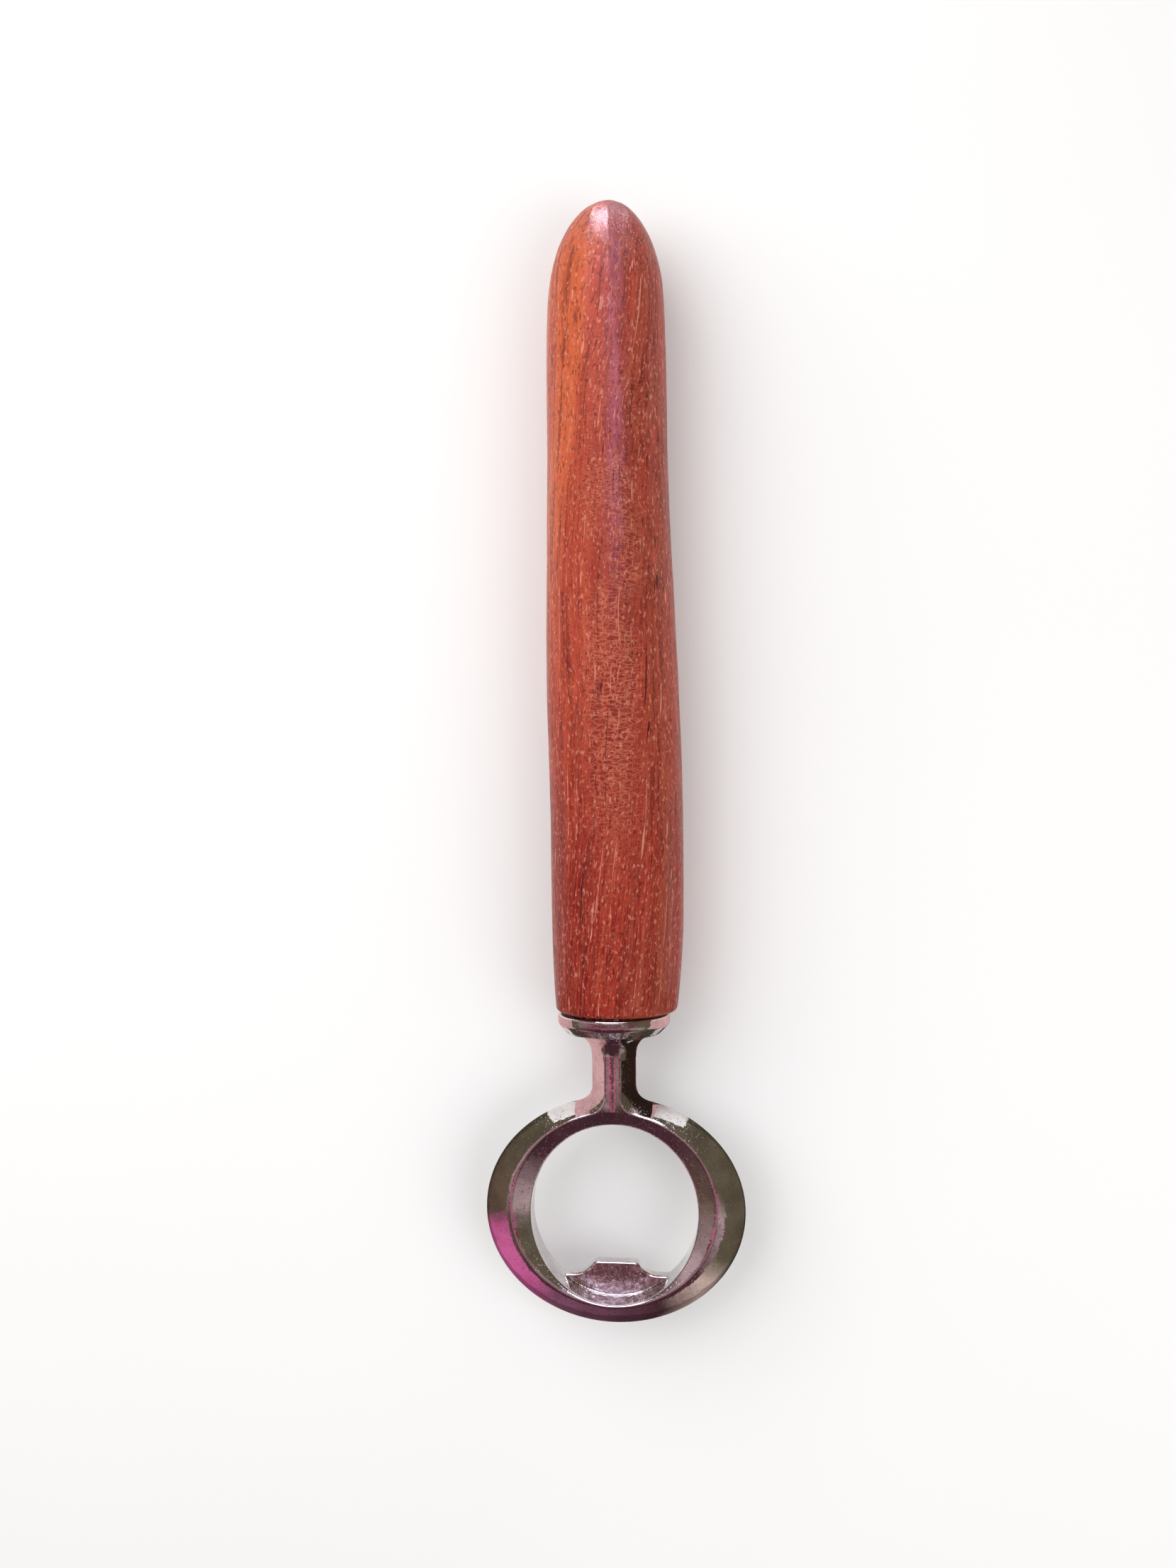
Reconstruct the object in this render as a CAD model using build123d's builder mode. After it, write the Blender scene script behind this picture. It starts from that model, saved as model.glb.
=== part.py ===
from build123d import *
import os
from math import cos, radians, sin, sqrt

# Hand-carved bottle opener, lying flat, in millimetres.
#   +Z is up and Z = 0 is the surface it rests on.
#   +Y runs along the handle to its rounded tip, and the cap ring is at the -Y end.
#   X is across the ring, and X = 0 is the axis of the threaded stud.
# Four separate pieces: a hardwood handle, a brass insert glued in its end, a steel stud
# that screws into the insert, and a one-piece cast head that the stud is locked into.

# ---- overall ----
handle_length = 138.0  # wood, from its sawn end to the tip
head_reach = 53.4  # from the wood's sawn end to the far edge of the ring
axis_height = 10.4  # stud axis above the resting surface

# ---- handle ----
tip_length = 19.2  # rounded end
# share of the stick before its rounded end, reach to -X, reach to +X, half depth in Z
handle_sections = [
    (0.0, 9.9, 10.9, 10.6),
    (0.065, 10.4, 11.7, 10.8),
    (0.15, 10.6, 12.1, 10.9),
    (0.265, 10.7, 12.1, 10.9),
    (0.45, 11.2, 11.6, 10.9),
    (0.635, 11.1, 10.6, 10.85),
    (0.815, 10.9, 9.9, 10.75),
    (1.0, 10.8, 9.5, 10.5),
]
tip_angles = (18, 36, 52, 66, 78)  # degrees round the elliptical tip
tip_flat = 0.1  # the last tip section, as a share of the section where the tip begins
end_edge_radius = 0.9  # worn edge round the sawn end

# ---- screw joint ----
thread_diameter = 6.0
thread_pitch = 1.0
pitch_diameter = thread_diameter - 0.6495 * thread_pitch  # mean size of the thread
running_clearance = 0.05  # radial, round the stud
engagement = 15.0  # stud inside the insert
stud_in_head = 6.0  # stud inside the head
bore_end_gap = 0.4  # free depth past each end of the stud
stud_chamfer = 0.5

insert_diameter = 10.0
insert_length = 16.0
insert_recess = 0.3  # insert below the sawn end
glue_groove_depth = 0.4
glue_groove_width = 1.6
glue_groove_places = (0.25, 0.5, 0.75)  # shares of the insert's length
tip_relief = 2.0  # bare hole past the insert
tip_relief_diameter = 6.8

# ---- head: collar and neck ----
collar_diameter = 19.05
rim_thickness = 1.7
rim_edge_radius = 0.45
bowl_diameter = 15.8  # where the cone under the rim ends
bowl_height = 1.7
seat_diameter = 15.0
seat_height = 0.35
seat_clearance = 0.05  # between the seat and the wood
neck_diameter = 7.3
flare_length = 4.1  # along the axis, from the cone to the parallel neck
neck_length = 4.0  # parallel part of the neck
flare_lip = 0.2  # flat left outside the flare
flute_width = 2.5
flute_depth = 0.5
flute_length = 12.0
flute_lead = 1.0  # flute begins this far up the flare

# ---- head: ring ----
ring_width = 44.4
ring_height = 38.6
ring_thickness = 8.0
ring_slope = 3.2  # the outside slopes off by this much, both ways, above and below its middle
ring_edge_radius = 0.7  # along the edges of that slope
hole_width = 28.4
hole_height = 30.0
hole_end_wall = 4.2  # ring left beyond the hole at its far end
inner_wall = 4.4  # height of the straight wall inside the hole
bevel_width_side = 3.1  # bevel between the hole and the crease, at the sides
bevel_width_neck = 2.4  # the same at the neck end
bevel_width_end = 0.3  # the same at the far end
web_half_width = 9.6  # where the web runs out on the ring's shoulders
web_hollow = 0.7  # how far the web's sides curve in
web_thickness = 6.0
web_bite = 0.5  # how far the web's foot and the neck's end run into the ring

# ---- head: tongue that lifts the cap ----
tongue_thickness = 2.6
tongue_front_drop = 1.0  # its front face below the ring's middle plane
tongue_tip_width = 7.8
tongue_root_width = 12.4
tongue_height = 6.1  # tip edge above the hole's far end
ledge_height = 3.3
ledge_width = 19.0
tongue_bite = 1.0  # how far it runs into the ring

# ---- places that follow ----
tip_y = (handle_length + head_reach) / 2
ring_end_y = -tip_y
sawn_end_y = tip_y - handle_length
ring_middle_y = ring_end_y + ring_height / 2
hole_far_y = ring_end_y + hole_end_wall
hole_middle_y = hole_far_y + hole_height / 2
insert_y = sawn_end_y + insert_recess
stud_core_radius = pitch_diameter / 2
bore_radius = stud_core_radius + running_clearance
seat_y = sawn_end_y - seat_clearance
collar_y = seat_y - seat_height
rim_end_y = collar_y - rim_thickness
flare_y = rim_end_y - bowl_height
neck_y = flare_y - flare_length
web_y = neck_y - neck_length
ring_top_y = ring_middle_y + ring_height / 2
neck_end_y = ring_top_y - web_bite
shoulder_share = sqrt(1 - (2 * web_half_width / ring_width) ** 2)
web_foot_y = ring_middle_y + ring_height / 2 * shoulder_share - web_bite
flute_middle_y = neck_y + flute_lead - flute_length / 2
ledge_y = hole_far_y + ledge_height
tongue_tip_y = hole_far_y + tongue_height
stud_axis = Axis((0, 0, axis_height), (0, 1, 0))
middle_plane = Plane.XY.offset(axis_height)


def across(y):
    """The plane square to the handle at y, with X across and Z up, standing at the axis."""
    return Plane(origin=(0, y, axis_height), x_dir=(1, 0, 0), z_dir=(0, -1, 0))


def tip_sections(y, left, right, depth):
    """Sections from the last one given, round an elliptical tip, to a small flat at its end."""
    shares = [(sin(radians(angle)), cos(radians(angle))) for angle in tip_angles]
    for along, size in [*shares, (1, tip_flat)]:
        yield y + tip_length * along, left * size, right * size, depth * size


# ---- handle: an oval, slightly wandering hardwood stick with a rounded tip ----
stick_length = handle_length - tip_length
body_sections = [
    (sawn_end_y + share * stick_length, left, right, depth)
    for share, left, right, depth in handle_sections
]

with BuildPart() as wooden_handle:
    for y, left, right, depth in [*body_sections, *tip_sections(*body_sections[-1])]:
        with BuildSketch(across(y)):
            with Locations(((right - left) / 2, 0)):
                Ellipse((left + right) / 2, depth)
    loft()
    fillet(wooden_handle.edges().group_by(Axis.Y)[0], end_edge_radius)
    # a narrow flat pared along the underside, so that it lies still
    with BuildSketch(Plane.XY):
        Rectangle(4 * ring_width, 4 * handle_length)
    extrude(amount=-2 * axis_height, mode=Mode.SUBTRACT)
    # blind hole for the insert, and a narrower one past it for the stud's end
    with BuildSketch(across(sawn_end_y)):
        Circle(insert_diameter / 2)
    extrude(amount=-(insert_recess + insert_length), mode=Mode.SUBTRACT)
    with BuildSketch(across(insert_y + insert_length)):
        Circle(tip_relief_diameter / 2)
    extrude(amount=-tip_relief, mode=Mode.SUBTRACT)
wooden_handle.part.label = "wooden_handle"

# ---- brass insert: glued in the handle, grooved outside to hold the glue ----
with BuildPart() as threaded_insert:
    with BuildSketch(across(insert_y)):
        Circle(insert_diameter / 2)
        Circle(bore_radius, mode=Mode.SUBTRACT)
    extrude(amount=-insert_length)
    for place in glue_groove_places:
        groove_y = insert_y + place * insert_length + glue_groove_width / 2
        with BuildSketch(across(groove_y)):
            Circle(insert_diameter / 2 + 1)
            Circle(insert_diameter / 2 - glue_groove_depth, mode=Mode.SUBTRACT)
        extrude(amount=glue_groove_width, mode=Mode.SUBTRACT)
threaded_insert.part.label = "threaded_insert"

# ---- steel stud: a plain rod at the thread's mean diameter ----
stud_start_y = seat_y - stud_in_head
stud_length = stud_in_head + seat_clearance + insert_recess + engagement

with BuildPart() as threaded_stud:
    with BuildSketch(across(stud_start_y)):
        Circle(stud_core_radius)
    extrude(amount=-stud_length)
    chamfer(threaded_stud.edges(), stud_chamfer)
threaded_stud.part.label = "threaded_stud"

# ---- opener head: ring, web, collar, neck and tongue in one casting ----
with BuildPart() as opener_head:
    # ring, sloped off outside to a blunt edge
    with BuildSketch(middle_plane.offset(-ring_thickness / 2)):
        with Locations((0, ring_middle_y)):
            Ellipse(ring_width / 2, ring_height / 2)
    extrude(amount=ring_thickness)
    chamfer(opener_head.edges().filter_by(GeomType.ELLIPSE), ring_slope)
    fillet(opener_head.edges(Select.LAST), ring_edge_radius)
    # web that spreads from the neck into the ring's shoulders
    with BuildSketch(middle_plane):
        with BuildLine():
            web_side = SagittaArc(
                (neck_diameter / 2, web_y), (web_half_width, web_foot_y), -web_hollow
            )
            Polyline(web_side @ 1, (0, web_foot_y), (0, web_y), web_side @ 0)
        make_face()
        mirror(about=Plane.YZ)
    extrude(amount=web_thickness / 2, both=True)
    # collar with its raised seat, the cone under its rim and the flare down to the neck
    with BuildSketch(middle_plane) as collar_profile:
        with BuildLine():
            flare = TangentArc(
                (neck_diameter / 2, neck_y), (bowl_diameter / 2 - flare_lip, flare_y), tangent=(0, 1)
            )
            Polyline(
                flare @ 1,
                (bowl_diameter / 2, flare_y),
                (collar_diameter / 2, rim_end_y),
                (collar_diameter / 2, collar_y),
                (seat_diameter / 2, collar_y),
                (seat_diameter / 2, seat_y),
                (0, seat_y),
                (0, neck_end_y),
                (neck_diameter / 2, neck_end_y),
                flare @ 0,
            )
        make_face()
        fillet(collar_profile.vertices().group_by(Axis.X)[-1], rim_edge_radius)
    revolve(axis=stud_axis)
    # opening for the cap, with a bevel round both of its edges
    with BuildSketch(middle_plane):
        with Locations((0, hole_middle_y)):
            Ellipse(hole_width / 2, hole_height / 2)
    extrude(amount=ring_thickness, both=True, mode=Mode.SUBTRACT)
    for side in (-1, 1):
        with BuildSketch(middle_plane.offset(side * inner_wall / 2)):
            with Locations((0, hole_middle_y)):
                Ellipse(hole_width / 2, hole_height / 2)
        with BuildSketch(middle_plane.offset(side * ring_thickness / 2)):
            with Locations((0, hole_middle_y + (bevel_width_neck - bevel_width_end) / 2)):
                Ellipse(
                    hole_width / 2 + bevel_width_side,
                    hole_height / 2 + (bevel_width_neck + bevel_width_end) / 2,
                )
        loft(mode=Mode.SUBTRACT)
    # flute along the front and back of the neck
    for side in (-1, 1):
        with BuildSketch(middle_plane.offset(side * (neck_diameter / 2 - flute_depth))):
            with Locations((0, flute_middle_y)):
                SlotOverall(flute_length, flute_width, rotation=90)
        extrude(amount=side * ring_thickness, mode=Mode.SUBTRACT)
    # tongue, set back from the front, with a small ledge each side
    with BuildSketch(middle_plane.offset(-tongue_front_drop - tongue_thickness)):
        with Locations((0, hole_middle_y)):
            Ellipse(hole_width / 2 + tongue_bite, hole_height / 2 + tongue_bite)
        with BuildLine():
            outline = Polyline(
                (0, ring_end_y),
                (ledge_width / 2, ring_end_y),
                (ledge_width / 2, ledge_y),
                (tongue_root_width / 2, ledge_y),
                (tongue_tip_width / 2, tongue_tip_y),
                (0, tongue_tip_y),
            )
            mirror(outline, about=Plane.YZ)
        make_face(mode=Mode.INTERSECT)
    extrude(amount=tongue_thickness)
    # blind hole for the stud
    with BuildSketch(across(seat_y)):
        Circle(bore_radius)
    extrude(amount=stud_in_head + bore_end_gap, mode=Mode.SUBTRACT)
opener_head.part.label = "opener_head"

# ---- files ----
os.makedirs("parts", exist_ok=True)
export_step(wooden_handle.part, "parts/wooden_handle.step")
export_step(threaded_insert.part, "parts/threaded_insert.step")
export_step(threaded_stud.part, "parts/threaded_stud.step")
export_step(opener_head.part, "parts/opener_head.step")
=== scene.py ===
from math import cos, pi, radians, sin, sqrt

import bpy
import numpy as np
from mathutils import Matrix, Vector, noise
from mathutils.bvhtree import BVHTree


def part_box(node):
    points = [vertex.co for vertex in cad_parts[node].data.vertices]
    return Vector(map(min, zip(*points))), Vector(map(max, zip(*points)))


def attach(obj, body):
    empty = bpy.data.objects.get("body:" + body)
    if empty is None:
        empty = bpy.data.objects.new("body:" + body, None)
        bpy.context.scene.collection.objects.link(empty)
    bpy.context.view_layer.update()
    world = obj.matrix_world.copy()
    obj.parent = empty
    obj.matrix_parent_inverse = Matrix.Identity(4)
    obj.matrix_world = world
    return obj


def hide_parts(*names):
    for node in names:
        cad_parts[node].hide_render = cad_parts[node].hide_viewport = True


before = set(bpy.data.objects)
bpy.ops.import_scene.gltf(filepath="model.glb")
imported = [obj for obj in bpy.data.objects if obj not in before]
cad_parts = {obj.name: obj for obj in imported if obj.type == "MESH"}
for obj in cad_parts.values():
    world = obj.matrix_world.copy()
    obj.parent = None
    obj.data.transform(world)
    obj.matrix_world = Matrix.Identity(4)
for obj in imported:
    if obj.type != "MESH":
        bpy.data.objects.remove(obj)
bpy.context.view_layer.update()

# The row frame in millimetres: +Y runs along the handle, +Z is up, X is across the ring.
# Lengths in this file are millimetres, and MM turns them into Blender's metres.
MM = 0.001

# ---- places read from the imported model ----
head_low, head_high = [[c / MM for c in corner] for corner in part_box("opener_head")]
wood_low, wood_high = [[c / MM for c in corner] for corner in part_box("wooden_handle")]
stud_low, stud_high = [[c / MM for c in corner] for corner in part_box("threaded_stud")]
insert_low, insert_high = [[c / MM for c in corner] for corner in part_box("threaded_insert")]

AXIS_Z = (stud_low[2] + stud_high[2]) / 2  # height of the stud's axis
RING_END_Y = head_low[1]
SEAT_Y = head_high[1]
SAWN_Y = wood_low[1]
TIP_Y = wood_high[1]
RING_HALF_WIDTH = head_high[0]
COLLAR_RADIUS = head_high[2] - AXIS_Z
INSERT_RADIUS = (insert_high[0] - insert_low[0]) / 2

# ---- head: sizes of the casting ----
RING_HALF_HEIGHT = 19.3
RING_HALF_THICKNESS = 4.0
HOLE_HALF_WIDTH = 14.2
HOLE_HALF_HEIGHT = 15.0
CREASE_HALF_WIDTH = 17.3
CREASE_END_REACH = 15.2  # crease beyond the ring's middle, at the far end
CREASE_NECK_REACH = 17.2  # and at the neck end
BEVEL_SLOPE = 0.6
RING_FULLNESS = 1.3  # 1 is a straight slope from crease to equator, 2 a round one
RING_MIDDLE_Y = RING_END_Y + RING_HALF_HEIGHT
HOLE_MIDDLE_Y = RING_END_Y + 19.2

SEAT_HEIGHT = 0.35
SEAT_RADIUS = 7.5
RIM_THICKNESS = 1.7
BOWL_RADIUS = 7.9
BOWL_HEIGHT = 1.7
FLARE_RADIUS = 4.05
NECK_HALF_WIDTH = 3.65
NECK_FRONT = 4.1
COLLAR_Y = SEAT_Y - SEAT_HEIGHT
RIM_END_Y = COLLAR_Y - RIM_THICKNESS
BOWL_END_Y = RIM_END_Y - BOWL_HEIGHT
NECK_Y = BOWL_END_Y - FLARE_RADIUS

FLUTE_HALF_WIDTH = 1.28
FLUTE_TOP_Y = NECK_Y + 1.7
FLUTE_FLAT_DEPTH = 0.95
FACET_NORMAL = (0.707, 0.707)
FACET_REACH = 3.66

STUD_BORE_RADIUS = 3.05
STUD_BORE_END_Y = stud_low[1] - 0.4

TONGUE_FRONT = -1.0
TONGUE_BACK = -3.6
TONGUE_TIP_Y = RING_END_Y + 9.95
TONGUE_TOP_REACH = 3.55
TONGUE_SIDE_SLOPE = 1.25
LEDGE_Y = RING_END_Y + 7.5
LEDGE_SLOPE = 0.02

NECK_TOP_Y = NECK_Y + 2.6  # ends of the faceted neck, inside the flare and inside the ring
NECK_FOOT_Y = RING_MIDDLE_Y + RING_HALF_HEIGHT - 1.5
FLUTE_FOOT_Y = RING_MIDDLE_Y + 10.0
BEVEL_END_Y = FLUTE_TOP_Y + 1.0
THINNEST_BAND = 0.8  # least width of the ring's slope, where the crease nears the outline

# ---- head: how wide the soft edge is where two of its surfaces meet ----
NECK_EDGE = 0.3
NECK_END_EDGE = 0.6
RIM_EDGE = 0.5
RIM_UNDERSIDE_EDGE = 0.35
BOWL_EDGE = 0.2
RIM_TO_FLARE = 0.3
TONGUE_SIDE_EDGE = 0.5
TONGUE_LEDGE_EDGE = 1.6
TONGUE_FACE_EDGE = 0.45
CREASE_TO_FLUTE = 2.4
FLUTE_FLOOR_EDGE = 0.5
RING_TO_NECK = 2.6
NECK_TO_COLLAR = 0.5
CREASE_EDGE = 0.3
HOLE_EDGE = 0.35
TONGUE_TO_RING = 0.2
BORE_EDGE = 0.15

HEAD_CELL = 0.23  # grid step of the casting's mesh


# ===== camera =====
CAMERA_TARGET = (-4.2, -3.7, AXIS_Z)
CAMERA_DISTANCE = 238.0
CAMERA_LEAN = 6.0  # degrees from straight above towards +X
CAMERA_ROLL = 0.36  # degrees
CAMERA_LENS = 31.9
CAMERA_SENSOR = 36.0
CAMERA_NEAREST = 10.0


def make_camera():
    """Looks down on the opener as the photograph does, from a little to the ring's +X side."""
    target = Vector(CAMERA_TARGET)
    lean = radians(CAMERA_LEAN)
    towards = Vector((sin(lean), 0, cos(lean)))
    data = bpy.data.cameras.new("camera")
    data.sensor_width = CAMERA_SENSOR
    data.lens = CAMERA_LENS
    data.dof.use_dof = False
    data.clip_start = CAMERA_NEAREST * MM
    camera = bpy.data.objects.new("camera", data)
    bpy.context.scene.collection.objects.link(camera)
    side = Vector((0, 1, 0)).cross(towards).normalized()
    up = towards.cross(side)
    roll = Matrix.Rotation(-radians(CAMERA_ROLL), 3, "Z")
    turn = Matrix((side, up, towards)).transposed() @ roll
    place = (target + towards * CAMERA_DISTANCE) * MM
    camera.matrix_world = Matrix.Translation(place) @ turn.to_4x4()
    bpy.context.scene.camera = camera


# ===== node helpers =====
class Nodes:
    """Short ways to add and join shader nodes in one material."""

    def __init__(self, name):
        self.material = bpy.data.materials.new(name)
        self.material.use_nodes = True
        self.tree = self.material.node_tree
        self.tree.nodes.clear()
        self.shader = self.add("ShaderNodeBsdfPrincipled")
        output = self.add("ShaderNodeOutputMaterial")
        self.join(self.shader.outputs["BSDF"], output.inputs["Surface"])

    def add(self, kind, **settings):
        node = self.tree.nodes.new(kind)
        for key, value in settings.items():
            setattr(node, key, value)
        return node

    def join(self, source, target):
        self.tree.links.new(source, target)

    def feed(self, socket, value):
        """Joins an output to a socket, or sets the socket to a plain value."""
        if isinstance(value, bpy.types.NodeSocket):
            self.join(value, socket)
        else:
            socket.default_value = value

    def position(self):
        """The place in the row frame in metres. It stays with a piece that moves."""
        return self.add("ShaderNodeTexCoord").outputs["Object"]

    def position_in_mm(self):
        return self.scaled(self.position(), (1 / MM, 1 / MM, 1 / MM))

    def scaled(self, vector, scale, place=(0, 0, 0)):
        node = self.add("ShaderNodeMapping")
        self.join(vector, node.inputs["Vector"])
        node.inputs["Scale"].default_value = scale
        node.inputs["Location"].default_value = place
        return node.outputs["Vector"]

    def turned(self, vector, angles):
        node = self.add("ShaderNodeMapping")
        self.join(vector, node.inputs["Vector"])
        node.inputs["Rotation"].default_value = [radians(a) for a in angles]
        return node.outputs["Vector"]

    def set_shader(self, name, value):
        self.feed(self.shader.inputs[name], value)

    def split(self, vector):
        node = self.add("ShaderNodeSeparateXYZ")
        self.join(vector, node.inputs["Vector"])
        return node.outputs["X"], node.outputs["Y"], node.outputs["Z"]

    def swirled(self, vector, scale, amount):
        """The place pushed about by up to half of amount each way, for lines that wander."""
        node = self.add("ShaderNodeTexNoise")
        self.join(vector, node.inputs["Vector"])
        node.inputs["Scale"].default_value = scale
        node.inputs["Detail"].default_value = 1.0
        centred = self.add("ShaderNodeVectorMath", operation="SUBTRACT")
        self.join(node.outputs["Color"], centred.inputs[0])
        centred.inputs[1].default_value = (0.5, 0.5, 0.5)
        push = self.add("ShaderNodeVectorMath", operation="MULTIPLY_ADD")
        self.join(centred.outputs[0], push.inputs[0])
        push.inputs[1].default_value = (amount, amount, amount)
        self.join(vector, push.inputs[2])
        return push.outputs[0]

    def lines(self, field, width):
        """1 on the line where a noise passes through its middle value, 0 away from it."""
        away = self.math("ABSOLUTE", self.math("SUBTRACT", field, 0.5))
        return self.spread(away, 0.0, width, 1.0, 0.0)

    def cells(self, vector, line_width):
        """1 on the borders of a net of cells, 0 inside them."""
        node = self.add("ShaderNodeTexVoronoi", feature="DISTANCE_TO_EDGE")
        self.join(vector, node.inputs["Vector"])
        node.inputs["Scale"].default_value = 1.0
        return self.spread(node.outputs["Distance"], 0.0, line_width, 1.0, 0.0)

    def ramp(self, value, stops):
        """A colour ramp of (place, colour) stops."""
        node = self.add("ShaderNodeValToRGB")
        self.join(value, node.inputs["Fac"])
        points = node.color_ramp.elements
        while len(points) < len(stops):
            points.new(0.5)
        for point, (place, colour) in zip(points, stops):
            point.position = place
            point.color = (*colour, 1.0)
        return node.outputs["Color"]

    def noise(self, vector, scale, detail=4.0, roughness=0.5):
        node = self.add("ShaderNodeTexNoise")
        self.join(vector, node.inputs["Vector"])
        node.inputs["Scale"].default_value = scale
        node.inputs["Detail"].default_value = detail
        node.inputs["Roughness"].default_value = roughness
        return node.outputs["Fac"]

    def math(self, operation, a, b=0.0):
        node = self.add("ShaderNodeMath", operation=operation)
        self.feed(node.inputs[0], a)
        self.feed(node.inputs[1], b)
        return node.outputs[0]

    def plus(self, a, b):
        return self.math("ADD", a, b)

    def times(self, a, b):
        return self.math("MULTIPLY", a, b)

    def spread(self, value, low, high, to_low=0.0, to_high=1.0):
        """value from low..high onto to_low..to_high with soft ends, and held past them."""
        node = self.add("ShaderNodeMapRange", interpolation_type="SMOOTHSTEP")
        self.feed(node.inputs["Value"], value)
        node.inputs["From Min"].default_value = low
        node.inputs["From Max"].default_value = high
        node.inputs["To Min"].default_value = to_low
        node.inputs["To Max"].default_value = to_high
        return node.outputs["Result"]

    def mix(self, share, a, b):
        node = self.add("ShaderNodeMix", data_type="RGBA")
        self.feed(node.inputs["Factor"], share)
        self.feed(node.inputs["A"], a if not isinstance(a, tuple) else (*a, 1.0))
        self.feed(node.inputs["B"], b if not isinstance(b, tuple) else (*b, 1.0))
        return node.outputs["Result"]

    def bump(self, height, strength, depth):
        """A normal bumped by a height, where 1 stands for depth in millimetres."""
        node = self.add("ShaderNodeBump")
        self.join(height, node.inputs["Height"])
        node.inputs["Strength"].default_value = strength
        node.inputs["Distance"].default_value = depth * MM
        return node.outputs["Normal"]


def from_srgb(red, green, blue):
    """A colour given as it looks on a screen, 0 to 255, as the linear values a shader takes."""
    return tuple(
        c / 12.92 if c <= 0.04045 else ((c + 0.055) / 1.055) ** 2.4
        for c in (red / 255, green / 255, blue / 255)
    )


# ===== colours =====
WOOD_DEEP_RED = from_srgb(134, 26, 18)
WOOD_RED = from_srgb(158, 50, 36)
# Brown for the +X side: partly the wood's own tone, partly painted shade on the side away from the
# light.
WOOD_BROWN_AND_SHADE = from_srgb(140, 62, 42)
WOOD_ORANGE = from_srgb(196, 92, 52)
WOOD_DARK_STREAK = from_srgb(92, 18, 16)
WOOD_LIGHT_STREAK = from_srgb(192, 88, 62)
WOOD_FLECK = from_srgb(232, 158, 136)
WOOD_CRACK = from_srgb(74, 10, 12)
# Painted sheen: the bluish reflection along the crest, given as a colour of the wood.
PAINTED_VIOLET_SHEEN = from_srgb(168, 96, 122)
WOOD_NET = from_srgb(208, 120, 90)
WOOD_UNDER_NET = from_srgb(126, 38, 32)
WOOD_FOOT_RED = from_srgb(120, 15, 10)

# What the metal reflects.
OLIVE = (0.130, 0.110, 0.074)
OLIVE_BROWN = (0.135, 0.092, 0.066)
MAGENTA = (0.66, 0.14, 0.36)
PURPLE = (0.26, 0.10, 0.17)
DARK_PLUM = (0.075, 0.030, 0.040)
PALE_PINK = (0.66, 0.50, 0.45)
DUSTY_PINK = (0.74, 0.45, 0.46)
ROSE_GREY = (0.50, 0.36, 0.38)
MAROON = (0.10, 0.030, 0.040)
BLACK_OLIVE = (0.027, 0.016, 0.011)
CEILING_COLOUR = (0.40, 0.29, 0.30)
# Windows and coloured cards in the ceiling: the edges as x over height (west, east) and as
# y over height (south, north), then how soft the edges are, then the colour.
CEILING_CARDS = [
    ((-0.36, 0.22, 0.20, 0.75), 0.040, (2.3, 2.1, 3.0)),  # window over the crest
    ((-0.74, 0.64, 0.62, 1.40), 0.040, (6.0, 5.7, 7.4)),  # window over the tip
    ((-1.25, 1.35, 1.75, 2.55), 0.150, (5.2, 5.3, 6.4)),  # low window: glints on the shoulders
    ((-0.50, 0.35, -0.292, -0.22), 0.006, (0.21, 0.115, 0.12)),  # over the collar
    ((-1.20, 1.00, -0.376, -0.292), 0.003, (0.17, 0.050, 0.054)),  # over the flute's upper end
    ((-1.20, 1.00, -0.540, -0.376), 0.003, (0.50, 0.15, 0.25)),  # over its lower end
    ((-0.45, 0.30, -0.720, -0.490), 0.030, (0.29, 0.18, 0.20)),  # over the tongue
]
CEILING_RISES = (1.6, 3.4)  # walls turn to ceiling between these, as height over distance
NEVER_ZERO = 1e-4  # keeps the divisions in the dome's material safe
DOME_RADIUS = 450.0
DOME_ROWS = 20
DOME_COLUMNS = 48
# Colours by bearing: 0 at -X, 0.25 at -Y, 0.5 at +X, 0.75 at +Y.
ROOM_COLOURS = [
    (0.00, ROSE_GREY),
    (0.10, OLIVE_BROWN),
    (0.18, DARK_PLUM),
    (0.32, DARK_PLUM),
    (0.40, ROSE_GREY),
    (0.45, OLIVE),
    (0.72, OLIVE),
    (0.80, OLIVE_BROWN),
    (0.90, OLIVE_BROWN),
    (0.96, ROSE_GREY),
]

# A tray of cards round the head: a wall, and a floor that reaches in under the ring's edge.
TRAY_MIDDLE_Y = -84.0
TRAY_HALF_WIDTH = 42.0
TRAY_HALF_LENGTH = 54.0
TRAY_HEIGHT = 26.0
TRAY_COLUMNS = 64
TRAY_GAP = 40.0  # degrees left open each side of +Y
TRAY_FLOOR_Z = 0.2
TRAY_SHADE_HEIGHTS = (0.3, 4.0)
TRAY_COLOURS = [
    (0.00, OLIVE_BROWN),
    (0.02, MAGENTA),
    (0.12, MAGENTA),
    (0.16, PURPLE),
    (0.30, DARK_PLUM),
    (0.37, PALE_PINK),
    (0.42, OLIVE),
    (0.90, OLIVE),
    (0.95, OLIVE_BROWN),
]
TRAY_FLOOR_SHADE = 0.55

# Upright cards beside the neck: close and low along its lower part, wider and higher above.
NECK_CARD_X = 11.0
NECK_CARD_LOW_X = 6.6
NECK_CARD_START_Y = NECK_Y - 9.0
NECK_CARD_SPLIT_Y = RIM_END_Y - 4.0
NECK_CARD_END_Y = SAWN_Y - 0.3
NECK_CARD_BOTTOM = 0.3
NECK_CARD_LOW_TOP = 14.4
NECK_CARD_HIGH_TOP = 17.5
NECK_FLOOR_CARD_Z = 0.4

# Bright card past the tip.
TIP_CARD_COLOUR = (38.0, 38.0, 48.0)
TIP_CARD_Y = TIP_Y + 46.0
TIP_CARD_WEST, TIP_CARD_EAST = -12.0, 10.0
TIP_CARD_BOTTOM, TIP_CARD_TOP = 9.0, 42.0

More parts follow.
